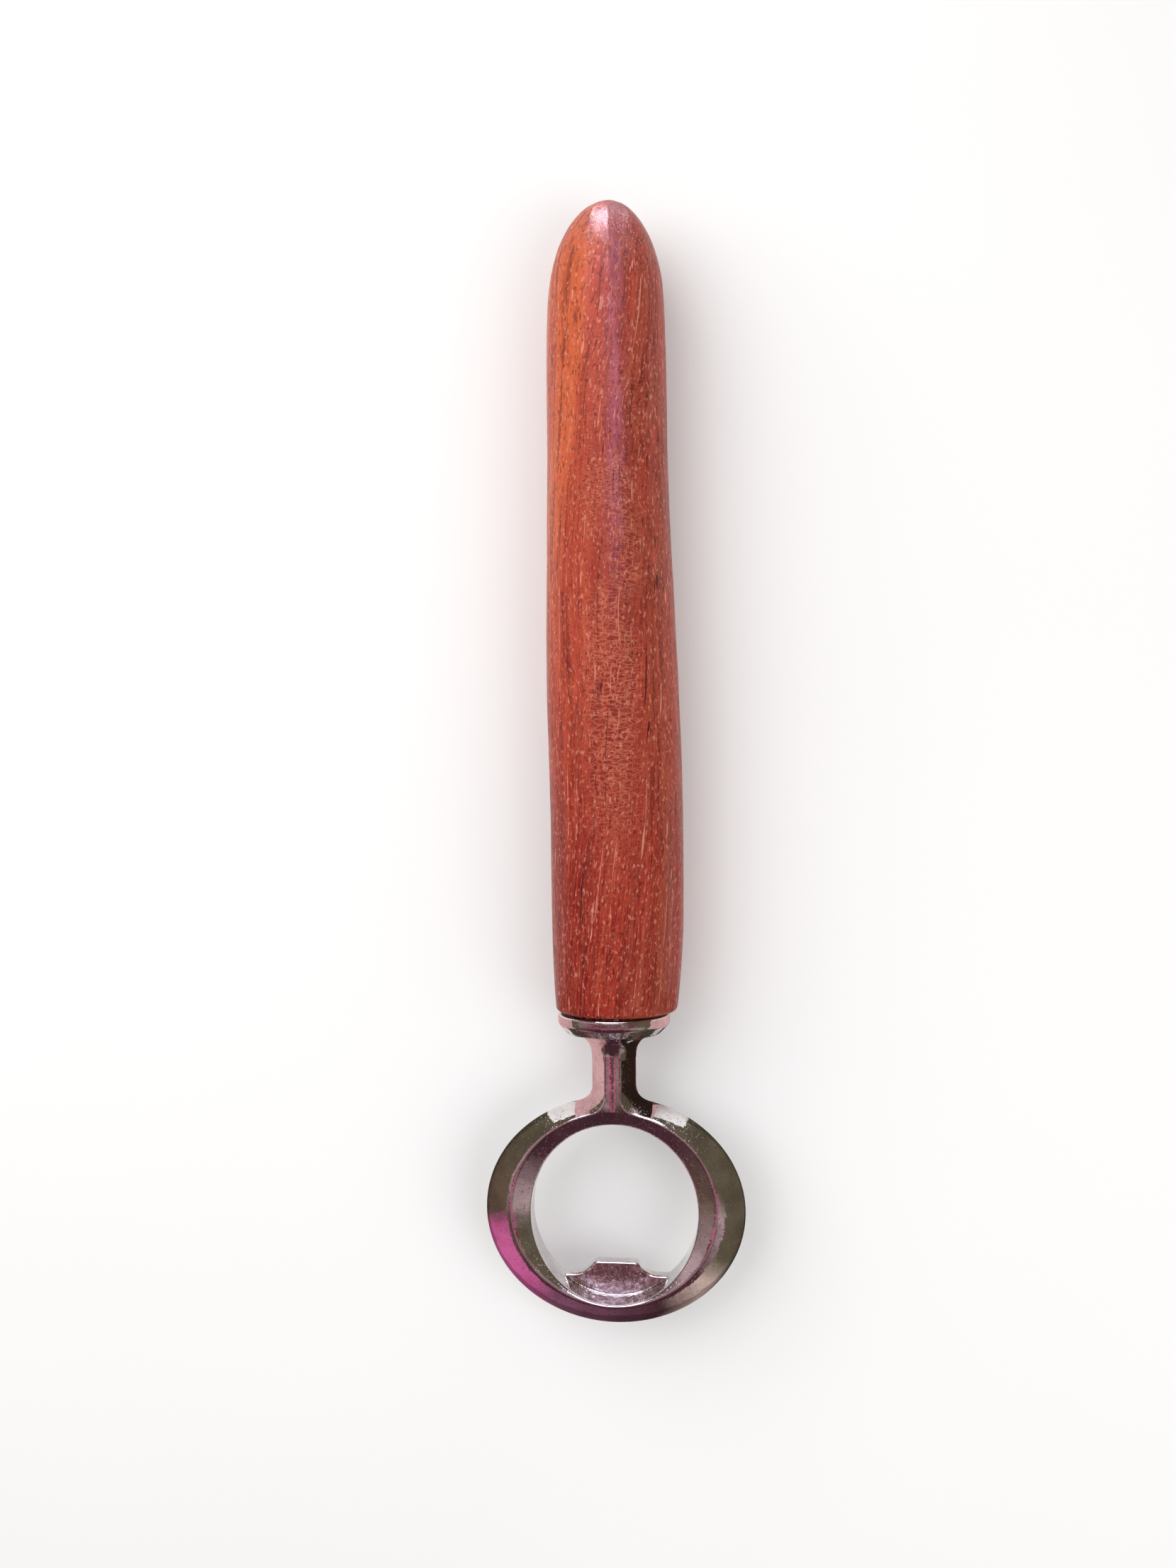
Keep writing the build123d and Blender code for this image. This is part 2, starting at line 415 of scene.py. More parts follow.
FLOOR_HALF_SIZE = 1500.0
WORLD_COLOUR = (1.0, 0.98, 0.97)
WORLD_STRENGTH = 0.60
KEY_LIGHT_POWER = 1.55
FILL_LIGHT_POWER = 0.5


# ===== mesh helpers =====
def new_piece(name, verts, faces, material, smooth=True):
    """A mesh object from millimetre points and index lists."""
    mesh = bpy.data.meshes.new(name)
    mesh.from_pydata((np.asarray(verts) * MM).tolist(), [], faces)
    mesh.validate()
    mesh.materials.append(material)
    mesh.polygons.foreach_set("use_smooth", [smooth] * len(mesh.polygons))
    mesh.update()
    piece = bpy.data.objects.new(name, mesh)
    bpy.context.scene.collection.objects.link(piece)
    return piece


def grid_faces(rows, columns, closed=True):
    """Quads over rows of points, each row a ring when closed."""
    faces = []
    for row in range(rows - 1):
        near, far = row * columns, (row + 1) * columns
        for c in range(columns if closed else columns - 1):
            d = (c + 1) % columns
            faces.append((near + c, near + d, far + d, far + c))
    return faces


def capped_tube_faces(rows, columns):
    """Quads over rings of points, and a flat face over the first ring and the last."""
    first = tuple(range(columns))[::-1]
    last = tuple(range((rows - 1) * columns, rows * columns))
    return grid_faces(rows, columns) + [first, last]


def round_turn(count):
    """That many angles, evenly spaced once round."""
    return np.arange(count) / count * 2 * pi


# ===== head: one smooth casting from a field =====
TINY = 1e-9  # keeps roots and divisions away from zero
SMALL = 1e-6
FAR_OUTSIDE = 9.0  # a distance that no soft edge reaches
GRADIENT_STEP = 0.02


def smooth_max(a, b, width):
    """The larger of two fields, which meet in a soft edge."""
    blend = np.maximum(width - np.abs(a - b), 0) / width
    return np.maximum(a, b) + blend * blend * width / 4


def smooth_min(a, b, width):
    return -smooth_max(-a, -b, width)


def oval_distance(x, y, half_width, half_height):
    """Nearly the distance outside an ellipse about the origin, negative inside."""
    reach = np.sqrt((x / half_width) ** 2 + (y / half_height) ** 2) + TINY
    slope = np.sqrt((x / half_width**2) ** 2 + (y / half_height**2) ** 2) + TINY
    return reach * (reach - 1) / slope


def ring_field(x, y, z, crease):
    """The ring's rounded outside, which rises from its equator to the crease."""
    outer = oval_distance(x, y - RING_MIDDLE_Y, RING_HALF_WIDTH, RING_HALF_HEIGHT)
    band = np.maximum(crease - outer, THINNEST_BAND)
    share = np.maximum(crease / band, 0) + SMALL
    height = np.abs(z) / RING_HALF_THICKNESS + SMALL
    total = share**RING_FULLNESS + height**RING_FULLNESS
    reach = total ** (1 / RING_FULLNESS)
    along = (share / reach) ** (RING_FULLNESS - 1) / band
    up = (height / reach) ** (RING_FULLNESS - 1) / RING_HALF_THICKNESS
    return (reach - 1) / np.sqrt(along**2 + up**2 + TINY)


def crease_distance(x, y):
    """Distance outside the oval crease round the opening, negative inside."""
    middle = (CREASE_NECK_REACH - CREASE_END_REACH) / 2
    half_height = (CREASE_NECK_REACH + CREASE_END_REACH) / 2
    return oval_distance(x, y - RING_MIDDLE_Y - middle, CREASE_HALF_WIDTH, half_height)


def flute_distance(x, y):
    """Distance outside the flute's strip, which has a round upper end."""
    past_end = np.maximum(y - (FLUTE_TOP_Y - FLUTE_HALF_WIDTH), 0)
    return np.sqrt(x**2 + past_end**2) - FLUTE_HALF_WIDTH


def neck_field(x, y, z):
    """Faceted neck from the flare down into the ring."""
    facets = FACET_NORMAL[0] * np.abs(x) + FACET_NORMAL[1] * np.abs(z) - FACET_REACH
    sides = smooth_max(facets, np.abs(x) - NECK_HALF_WIDTH, NECK_EDGE)
    front = smooth_max(sides, np.abs(z) - NECK_FRONT, NECK_EDGE)
    ends = np.maximum(y - NECK_TOP_Y, NECK_FOOT_Y - y)
    return smooth_max(front, ends, NECK_END_EDGE)


def collar_field(x, y, z):
    """Seat, rim, the cone under it and the flare, turned about the stud's axis."""
    r = np.sqrt(x**2 + z**2)
    slant = sqrt((COLLAR_RADIUS - BOWL_RADIUS) ** 2 + BOWL_HEIGHT**2)
    across = BOWL_HEIGHT / slant
    along = (COLLAR_RADIUS - BOWL_RADIUS) / slant
    cone = (r - COLLAR_RADIUS) * across - (y - RIM_END_Y) * along
    disc = smooth_max(r - COLLAR_RADIUS, cone, RIM_UNDERSIDE_EDGE)
    disc = smooth_max(disc, y - COLLAR_Y, RIM_EDGE)
    disc = smooth_max(disc, BOWL_END_Y - y, BOWL_EDGE)
    seat = np.maximum(r - SEAT_RADIUS, np.maximum(y - SEAT_Y, COLLAR_Y - 1 - y))
    centre = NECK_HALF_WIDTH + FLARE_RADIUS
    hollow = FLARE_RADIUS - np.sqrt((r - centre) ** 2 + (y - NECK_Y) ** 2)
    flare = np.where(y > NECK_Y, hollow, r - NECK_HALF_WIDTH)
    flare = smooth_max(flare, r - centre + BOWL_EDGE, BOWL_EDGE)
    flare = np.maximum(flare, np.maximum(y - BOWL_END_Y - 0.5, NECK_Y - y))
    return np.minimum(smooth_min(disc, flare, RIM_TO_FLARE), seat)


def tongue_field(x, y, z):
    """Plate that lifts the cap: a low hump with a small ledge each side."""
    top = y - TONGUE_TIP_Y
    side = top + TONGUE_SIDE_SLOPE * (np.abs(x) - TONGUE_TOP_REACH)
    hump = smooth_max(top, side / sqrt(1 + TONGUE_SIDE_SLOPE**2), TONGUE_SIDE_EDGE)
    ledge = y - LEDGE_Y - LEDGE_SLOPE * np.abs(x)
    outline = smooth_min(hump, ledge, TONGUE_LEDGE_EDGE)
    plate = np.maximum(TONGUE_BACK - z, z - TONGUE_FRONT)
    shape = smooth_max(outline, plate, TONGUE_FACE_EDGE)
    inside_ring = oval_distance(x, y - HOLE_MIDDLE_Y, HOLE_HALF_WIDTH + 1, HOLE_HALF_HEIGHT + 1)
    return np.maximum(shape, inside_ring)


def head_field(x, y, z):
    """Below zero inside the casting, above zero outside. Points are relative to the axis."""
    crease = crease_distance(x, y)
    flute = np.where(y > FLUTE_FOOT_Y, flute_distance(x, y), FAR_OUTSIDE)
    inner = smooth_min(crease, flute, CREASE_TO_FLUTE)
    inner = smooth_max(inner, -FLUTE_FLAT_DEPTH - np.maximum(-crease, 0), FLUTE_FLOOR_EDGE)
    body = smooth_min(ring_field(x, y, z, crease), neck_field(x, y, z), RING_TO_NECK)
    body = smooth_min(body, collar_field(x, y, z), NECK_TO_COLLAR)
    bevel = (np.abs(z) - RING_HALF_THICKNESS - BEVEL_SLOPE * inner) / sqrt(1 + BEVEL_SLOPE**2)
    bevel = np.where(y > BEVEL_END_Y, -1.0, bevel)
    hole = -oval_distance(x, y - HOLE_MIDDLE_Y, HOLE_HALF_WIDTH, HOLE_HALF_HEIGHT)
    body = smooth_max(body, bevel, CREASE_EDGE)
    body = smooth_max(body, hole, HOLE_EDGE)
    body = smooth_min(body, tongue_field(x, y, z), TONGUE_TO_RING)
    bore = np.maximum(np.sqrt(x**2 + z**2) - STUD_BORE_RADIUS, STUD_BORE_END_Y - y)
    return smooth_max(body, -bore, BORE_EDGE)


def field_gradient(field, points, step=GRADIENT_STEP):
    """Central differences of the field at the points."""
    out = np.empty_like(points)
    for axis in range(3):
        shift = np.zeros(3)
        shift[axis] = step
        ahead = field(*(points + shift).T)
        behind = field(*(points - shift).T)
        out[:, axis] = (ahead - behind) / (2 * step)
    return out


def corner_part(array, corner):
    """The array's values at one corner of every grid cell."""
    return array[tuple(slice(c, c + size - 1) for c, size in zip(corner, array.shape))]


def cell_crossings(values):
    """How many edges of each grid cell the surface crosses, and the sum of those places."""
    shape = np.array(values.shape) - 1
    count = np.zeros(shape)
    total = np.zeros((*shape, 3))
    edges = [(start, axis) for start in np.ndindex(2, 2, 2) for axis in range(3) if not start[axis]]
    for start, axis in edges:
        end = tuple(c + (k == axis) for k, c in enumerate(start))
        first, second = corner_part(values, start), corner_part(values, end)
        crossed = (first < 0) != (second < 0)
        share = np.where(crossed, first / np.where(crossed, first - second, 1), 0)
        count += crossed
        for k in range(3):
            place = start[k] + (share if k == axis else 0)
            total[..., k] += np.where(crossed, place, 0)
    return count, total


def quads_round_edges(inside, index, axis):
    """For each grid edge along the axis that the surface crosses, the four cells round it."""
    u, v = (axis + 1) % 3, (axis + 2) % 3
    one = inside[tuple(slice(0, -1) if k == axis else slice(1, -1) for k in range(3))]
    two = inside[tuple(slice(1, None) if k == axis else slice(1, -1) for k in range(3))]
    faces = []
    for state, flip in ((one & ~two, False), (two & ~one, True)):
        at = np.argwhere(state)
        at[:, u] += 1
        at[:, v] += 1
        quad = []
        for du, dv in ((-1, -1), (0, -1), (0, 0), (-1, 0)):
            near = at.copy()
            near[:, u] += du
            near[:, v] += dv
            quad.append(index[tuple(near.T)])
        quad = np.stack(quad, 1)
        faces.append(quad[:, ::-1] if flip else quad)
    return faces


def surface_net(field, low, high, cell):
    """A closed quad mesh of the field's zero surface: one point per crossed grid cell."""
    axes = [np.arange(low[k], high[k] + cell, cell) for k in range(3)]
    values = field(*np.meshgrid(*axes, indexing="ij"))
    count, total = cell_crossings(values)
    used = count > 0
    index = np.full(count.shape, -1)
    index[used] = np.arange(used.sum())
    places = np.argwhere(used) + total[used] / count[used][:, None]
    points = places * cell + np.array([a[0] for a in axes])
    faces = []
    for axis in range(3):
        faces += quads_round_edges(values < 0, index, axis)
    return points, np.concatenate(faces)


def settle(field, points, rounds=6, limit=0.1):
    """Moves the points onto the zero surface along its slope."""
    for _ in range(rounds):
        value = field(*points.T)
        slope = field_gradient(field, points)
        size = (slope**2).sum(1) + TINY
        step = np.clip(value / np.sqrt(size), -limit, limit)
        points = points - slope / np.sqrt(size)[:, None] * step[:, None]
    return points


def make_head(material):
    """The casting, with its surface and shading normals taken straight from the field."""
    margin = 3 * HEAD_CELL
    low = [-RING_HALF_WIDTH - margin, RING_END_Y - margin, -COLLAR_RADIUS - margin]
    high = [RING_HALF_WIDTH + margin, SEAT_Y + margin, COLLAR_RADIUS + margin]
    points, faces = surface_net(head_field, low, high, HEAD_CELL)
    points = settle(head_field, points)
    slope = field_gradient(head_field, points)
    normals = slope / np.linalg.norm(slope, axis=1)[:, None]
    piece = new_piece("chromed_head", points + [0, 0, AXIS_Z], faces.tolist(), material)
    piece.data.normals_split_custom_set_from_vertices(normals.tolist())
    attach(piece, "head")
    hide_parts("opener_head")


# ===== handle: the CAD stick with knife cuts pared into it =====
STICK_COLUMNS = 200
STICK_STEP = 0.36  # from ring to ring of points along the stick
TIP_CENTRE_Y = TIP_Y - 12.0
TIP_RINGS = 58
TIP_STEEPEST_LEAN = 89.4
FOOT_CENTRE_Y = SAWN_Y + 2.5
FOOT_LEANS = (3, 6, 7.6, 9, 10.3, 11.5, 12.6, 13.6, 14.5, 16, 19, 22)  # close at the sawn edge
RAY_START = 40.0  # from the axis, well outside the stick
RAY_NUDGE = (1e-3, 2e-3, 1e-3)

HOLE_RADIUS = 5.0
HOLE_CHAMFER = 0.15
HOLE_END_Y = insert_high[1]
RELIEF_RADIUS = 3.4
RELIEF_END_Y = HOLE_END_Y + 2.0

CUT_SEED = 41
CUT_COUNT = 46
CUT_HALF_LENGTHS = (14, 34)
CUT_DEPTHS = (0.05, 0.2)
CUT_REACH = 40.0  # degrees each side of a cut's middle
CUT_EDGE = 0.03
DEEPEST_CUT = 0.5
BROAD_RIDGES = (0.22, 0.045, 0.10)  # waves per millimetre across and along the grain, height
FINE_RIDGES = (0.9, 0.16, 0.045)
RIDGE_MIDDLE = 0.09  # below the CAD surface
DEEPEST_RIDGE = 0.3
UNCUT_RADIUS = 1.5  # nothing is pared nearer the axis than this, as at the tip's very end
UNCUT_FADE = 4.0  # and the full depth is reached this much further out
SAWN_EDGE = 0.9  # nearer the sawn end than this, points keep their place along the handle
SHARP_WOOD_EDGE = 50.0  # degrees


def stick_rays():
    """(middle of the ray, its lean towards +Y in degrees) for each ring of points, tip first."""
    rays = [(TIP_CENTRE_Y, lean) for lean in np.linspace(TIP_STEEPEST_LEAN, 0, TIP_RINGS)]
    count = int((TIP_CENTRE_Y - FOOT_CENTRE_Y) / STICK_STEP)
    rays += [(y, 0.0) for y in np.linspace(TIP_CENTRE_Y, FOOT_CENTRE_Y, count)[1:]]
    rays += [(FOOT_CENTRE_Y, -lean) for lean in FOOT_LEANS]
    return rays


def random_cuts(generator):
    """Long shallow knife cuts: (angle, middle, half length, depth) of each."""
    cuts = []
    for _ in range(CUT_COUNT):
        angle = generator.uniform(0, 2 * pi)
        middle = generator.uniform(SAWN_Y, TIP_Y - 8)
        half_length = generator.uniform(*CUT_HALF_LENGTHS)
        depth = generator.uniform(*CUT_DEPTHS)
        cuts.append((angle, middle, half_length, depth))
    return cuts


def cut_depth(radius, turn, y, cuts):
    """How far below the uncut surface the knife left the wood, at angle turn and place y."""
    depth = np.zeros_like(radius)
    for angle, middle, half_length, sagitta in cuts:
        away = np.abs((turn - angle + pi) % (2 * pi) - pi)
        near = away < radians(CUT_REACH)
        fade = np.clip(1 - ((y - middle) / half_length) ** 2, 0, None)
        flat = (radius - sagitta * fade) / np.cos(np.where(near, away, 0))
        deeper = smooth_max(depth, radius - flat, CUT_EDGE)
        depth = np.where(near & (fade > 0), deeper, depth)
    return np.clip(depth - CUT_EDGE / 4, 0, DEEPEST_CUT)


def crest_cuts():
    """Two long flats that meet in the crest down from the tip, each as in random_cuts."""
    return [(radians(98), TIP_Y, 46.0, 0.24), (radians(70), TIP_Y + 2, 44.0, 0.42)]


def grain_ridges(points):
    """A few hundredths of a millimetre of unevenness, drawn out along the grain."""
    across, along, height = BROAD_RIDGES
    fine_across, fine_along, fine_height = FINE_RIDGES
    out = np.empty(len(points))
    for i, (x, y, z) in enumerate(points):
        broad = noise.noise((x * across, y * along, z * across))
        fine = noise.noise((x * fine_across, y * fine_along, z * fine_across + 7))
        out[i] = height * broad + fine_height * fine
    return out


def cast_onto_stick(turns):
    """Points where rays from outside meet the CAD stick, and the point that each ray aims at."""
    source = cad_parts["wooden_handle"].data
    corners = [v.co / MM for v in source.vertices]
    tree = BVHTree.FromPolygons(corners, [tuple(p.vertices) for p in source.polygons])
    hits, centres = [], []
    for centre_y, lean in stick_rays():
        centre = Vector((0, centre_y, AXIS_Z))
        flat = cos(radians(lean))
        for turn in turns:
            out = Vector((cos(turn) * flat, sin(radians(lean)), sin(turn) * flat))
            start = centre + out * RAY_START
            hit = tree.ray_cast(start, -out)[0]
            if hit is None:  # slipped between two triangles
                hit = tree.ray_cast(start + Vector(RAY_NUDGE), -out)[0]
            hits.append(hit)
            centres.append(centre)
    return np.array(hits), np.array(centres)


def pare(hits, centres, turns):
    """Moves points of the plain stick in by the knife cuts and by the grain's ridges."""
    spokes = hits - centres
    reach = np.linalg.norm(spokes, axis=1)
    turn = np.tile(turns, len(hits) // STICK_COLUMNS)
    level = np.hypot(hits[:, 0], hits[:, 2] - AXIS_Z)
    cuts = random_cuts(np.random.default_rng(CUT_SEED)) + crest_cuts()
    carve = cut_depth(level, turn, hits[:, 1], cuts)
    ridges = np.clip(grain_ridges(hits) + RIDGE_MIDDLE, 0, DEEPEST_RIDGE)
    flank = np.clip((level - UNCUT_RADIUS) / UNCUT_FADE, 0, 1)
    carve = carve * flank + ridges * flank
    points = hits - spokes / reach[:, None] * carve[:, None]
    on_end = hits[:, 1] < SAWN_Y + SAWN_EDGE
    points[on_end, 1] = hits[on_end, 1]
    return points


def make_handle(material):
    """The CAD stick cast as rings of points, pared, and closed round the insert's hole."""
    turns = round_turn(STICK_COLUMNS)
    hits, centres = cast_onto_stick(turns)
    points = close_handle(pare(hits, centres, turns), turns)
    faces = capped_tube_faces(len(points) // STICK_COLUMNS, STICK_COLUMNS)
    piece = new_piece("carved_handle", points, faces, material)
    piece.data.set_sharp_from_angle(angle=radians(SHARP_WOOD_EDGE))
    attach(piece, "handle")
    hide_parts("wooden_handle")


def close_handle(points, turns):
    """Adds the end face's inner edge, the insert's hole and the smaller hole behind it."""
    profile = [
        (HOLE_RADIUS + HOLE_CHAMFER, SAWN_Y),
        (HOLE_RADIUS, SAWN_Y + HOLE_CHAMFER),
        (HOLE_RADIUS, HOLE_END_Y),
        (RELIEF_RADIUS, HOLE_END_Y),
        (RELIEF_RADIUS, RELIEF_END_Y),
    ]
    rings = [points]
    for radius, y in profile:
        across, up = radius * np.cos(turns), AXIS_Z + radius * np.sin(turns)
        rings.append(np.stack([across, np.full(STICK_COLUMNS, y), up], 1))
    return np.concatenate(rings)


# ===== screw joint =====
THREAD_PITCH = 1.0
THREAD_MAJOR = 2.97
THREAD_DEPTH = 0.6
THREAD_GAP = 0.07
THREAD_CREST_SHARE = 0.0625  # of the pitch, from the crest's middle to its edge
THREAD_FLANK_SHARE = 0.3125
SHARP_THREAD_EDGE = 35.0  # degrees
THREAD_COLUMNS = 60
THREAD_ROWS_PER_TURN = 12
STUD_END_CUT = 0.75  # how far inside the thread's crests the stud's ends start
INSERT_MOUTH = 0.35
INSERT_SHRINK = 0.03  # keeps the insert's outside clear of the wood
INSERT_CHAMFER = 0.5
GROOVE_PLACES = (4.0, 8.0, 12.0)
GROOVE_DEPTH = 0.4
GROOVE_HALF_MOUTH = 0.8
GROOVE_HALF_FLOOR = 0.5


def thread_radius(turn, y):
    """Radius of the right-hand thread at a turn from +Z towards +X and a place along it."""
    share = (y / THREAD_PITCH - turn / (2 * pi)) % 1.0
    from_crest = np.abs(share - 0.5)
    fall = np.clip((from_crest - THREAD_CREST_SHARE) / THREAD_FLANK_SHARE, 0, 1)
    return THREAD_MAJOR - THREAD_DEPTH * fall


def ring_of_points(radius, y, turns):
    """A ring about the stud's axis, of one radius or of one for each turn."""
    radius = np.broadcast_to(radius, turns.shape)
    across, up = radius * np.sin(turns), AXIS_Z + radius * np.cos(turns)
    return np.stack([across, np.full(len(turns), y), up], 1)


def make_stud(material):
    """Threaded rod, pointed a little at both ends."""
    turns = round_turn(THREAD_COLUMNS)
    low, high = stud_low[1], stud_high[1]
    count = int((high - low) / THREAD_PITCH * THREAD_ROWS_PER_TURN)
    rings = []
    for y in np.linspace(low, high, count):
        end_limit = THREAD_MAJOR - STUD_END_CUT + min(y - low, high - y)
        radius = np.minimum(thread_radius(turns, y), end_limit)
        rings.append(ring_of_points(radius, y, turns))
    faces = capped_tube_faces(count, THREAD_COLUMNS)
    piece = new_piece("stud_thread", np.concatenate(rings), faces, material)
    piece.data.set_sharp_from_angle(angle=radians(SHARP_THREAD_EDGE))
    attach(piece, "head")
    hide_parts("threaded_stud")


def insert_outside():
    """(radius, y) down the insert's outside: chamfers and the grooves that the glue keys into."""
    low, high = insert_low[1], insert_high[1]
    outer = INSERT_RADIUS - INSERT_SHRINK
    line = [(outer - INSERT_CHAMFER, low), (outer, low + INSERT_CHAMFER)]
    for place in GROOVE_PLACES:
        middle, floor = low + place, outer - GROOVE_DEPTH
        line += [(outer, middle - GROOVE_HALF_MOUTH), (floor, middle - GROOVE_HALF_FLOOR)]
        line += [(floor, middle + GROOVE_HALF_FLOOR), (outer, middle + GROOVE_HALF_MOUTH)]
    return line + [(outer, high - INSERT_CHAMFER), (outer - INSERT_CHAMFER, high)]


def make_insert(material):
    """Threaded bush: grooved outside, the stud's thread cut inside."""
    turns = round_turn(THREAD_COLUMNS)
    low, high = insert_low[1], insert_high[1]
    rings = [ring_of_points(radius, y, turns) for radius, y in insert_outside()]
    count = int((high - low) / THREAD_PITCH * THREAD_ROWS_PER_TURN)
    for y in np.linspace(high, low, count):
        mouth = THREAD_MAJOR + INSERT_MOUTH - min(y - low, high - y)
        radius = np.maximum(thread_radius(turns, y) + THREAD_GAP, mouth)
        rings.append(ring_of_points(radius, y, turns))
    rings.append(rings[0])
    points = np.concatenate(rings)
    faces = grid_faces(len(rings), THREAD_COLUMNS)
    last = (len(rings) - 1) * THREAD_COLUMNS
    faces = [tuple(i - last if i >= last else i for i in face) for face in faces]
    piece = new_piece("insert_bush", points[:last], faces, material)
    piece.data.set_sharp_from_angle(angle=radians(SHARP_THREAD_EDGE))
    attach(piece, "handle")
    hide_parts("threaded_insert")


# ===== materials =====
# How many times a millimetre each of the wood's patterns repeats: along X, Y and Z.
GRAIN_BANDS = (0.26, 0.010, 0.26)
GRAIN_STREAKS = (1.15, 0.022, 1.15)
GRAIN_FIBRES = (5.0, 0.22, 5.0)
LONG_CRACKS = (1.9, 0.012, 1.9)
SCRATCHES = (2.3, 0.02, 2.3)
BREAKS = (0.5, 0.05, 0.5)  # where a crack or a scratch starts and stops
CRAZING_RIPPLES = (0.28, 1.45, 0.28)
CRAZING_CELLS = (0.66, 1.35, 0.66)
CRAZING_PATCHES = (0.16, 0.07, 0.16)
PORES = (2.8, 0.9, 2.8)
FLECKS = (2.6, 1.1, 2.6)
# mottle of the painted sheen along the crest
PAINTED_SHEEN_MOTTLE = (1.2, 0.25, 1.2)
GRAIN_LEAN = 4.5  # degrees about Z
CRAZING_MIDDLE_X = 1.2
CREST_X = 1.7


def wood_colour(n, place, grain):
    """Red hardwood, with orange bands towards -X and the tip, and browner towards +X. The orange on
    -X and the brown on +X are partly painted light and shade: the -X side lighter and the +X side
    darker, as the light falls.
    """
    x, y, z = n.split(place)
    bands = n.noise(n.scaled(grain, GRAIN_BANDS), 1.0, detail=2.5)
    streaks = n.noise(n.scaled(grain, GRAIN_STREAKS), 1.0, detail=4.0, roughness=0.6)
    fibres = n.noise(n.scaled(grain, GRAIN_FIBRES), 1.0, detail=3.0)
    towards_tip = n.spread(y, -15.0, 66.0)
    # Orange kept to -X: partly the wood's bands, partly painted light on the lit side.
    towards_lit_left = n.spread(x, 3.5, -4.0)
    banded = n.spread(bands, 0.36, 0.56, 0.25, 1.1)
    orange = n.times(banded, n.times(towards_tip, towards_lit_left))
    colour = n.mix(n.spread(y, -45.0, 30.0), WOOD_DEEP_RED, WOOD_RED)
    foot = n.times(n.spread(y, 14.0, -26.0), n.spread(x, 1.0, -8.0))
    colour = n.mix(n.times(foot, 0.85), colour, WOOD_FOOT_RED)
    # Browner towards +X: partly the wood's own tone, partly painted shade on the side away from the
    # light.
    brown_and_shade = n.times(n.spread(x, -2.5, 3.5), n.spread(bands, 0.62, 0.4))
    colour = n.mix(n.times(brown_and_shade, 0.75), colour, WOOD_BROWN_AND_SHADE)
    colour = n.mix(n.math("MINIMUM", orange, 1.0), colour, WOOD_ORANGE)
    colour = n.mix(n.spread(streaks, 0.51, 0.36, 0.0, 0.66), colour, WOOD_DARK_STREAK)
    colour = n.mix(n.spread(streaks, 0.54, 0.68, 0.0, 0.35), colour, WOOD_LIGHT_STREAK)
    colour = n.mix(n.spread(fibres, 0.40, 0.62, 0.0, 0.30), colour, WOOD_LIGHT_STREAK)
    return colour, fibres


def crazing(n, place):
    """Masks of the crazed finish along the handle's middle: its net of lines, and its zone."""
    x, y, z = n.split(place)
    wandering = n.swirled(place, 0.20, 2.4)
    ripples = n.lines(n.noise(n.scaled(wandering, CRAZING_RIPPLES), 1.0, detail=1.0), 0.040)
    joins = n.cells(n.scaled(wandering, CRAZING_CELLS), 0.11)
    net = n.math("MAXIMUM", ripples, n.times(joins, 0.8))
    off_centre = n.math("ABSOLUTE", n.math("SUBTRACT", x, CRAZING_MIDDLE_X))
    along = n.times(n.spread(y, -22.0, 4.0), n.spread(y, 80.0, 40.0))
    zone = n.times(n.spread(off_centre, 1.8, 6.5, 1.0, 0.0), along)
    patches = n.spread(n.noise(n.scaled(place, CRAZING_PATCHES), 1.0, detail=2.0), 0.30, 0.52)
    return n.times(net, n.times(n.plus(zone, 0.16), patches)), zone


def long_marks(n, grain):
    """Masks of the long dark cracks and the light scratches along the grain."""
    breaks = n.noise(n.scaled(grain, BREAKS, (40, 0, 0)), 1.0, detail=1.0)
    dark = n.noise(n.scaled(grain, LONG_CRACKS, (9, 3, 0)), 1.0, detail=1.0)
    cracks = n.times(n.spread(dark, 0.33, 0.27), n.spread(breaks, 0.46, 0.56))
    light = n.noise(n.scaled(grain, SCRATCHES, (0, 5, 31)), 1.0, detail=1.0)
    scratches = n.times(n.spread(light, 0.66, 0.72), n.spread(breaks, 0.56, 0.46))
    return cracks, scratches


def short_marks(n, grain):
    """Masks of the dark pores and the light flecks."""
    pores = n.spread(n.noise(n.scaled(grain, PORES), 1.0, detail=2.0), 0.43, 0.33)
    flecks = n.noise(n.scaled(grain, FLECKS, (0, 0, 17)), 1.0, detail=3.0)
    return pores, n.spread(flecks, 0.57, 0.68)


def painted_violet_sheen(n, place):
    """Mask of a painted sheen: the bluish reflection along the crest of the handle's upper half,
    painted into the wood's colour.
    """
    x, y, z = n.split(place)
    off_crest = n.math("ABSOLUTE", n.math("SUBTRACT", x, CREST_X))
    along = n.times(n.spread(y, 18.0, 50.0), n.spread(z, AXIS_Z, AXIS_Z + 7.0))
    mottle = n.noise(n.scaled(place, PAINTED_SHEEN_MOTTLE, (0, 71, 0)), 1.0, detail=3.0)
    mottle = n.spread(mottle, 0.35, 0.62, 0.15, 0.5)
    return n.times(n.times(n.spread(off_crest, 0.3, 2.3, 1.0, 0.0), along), mottle)


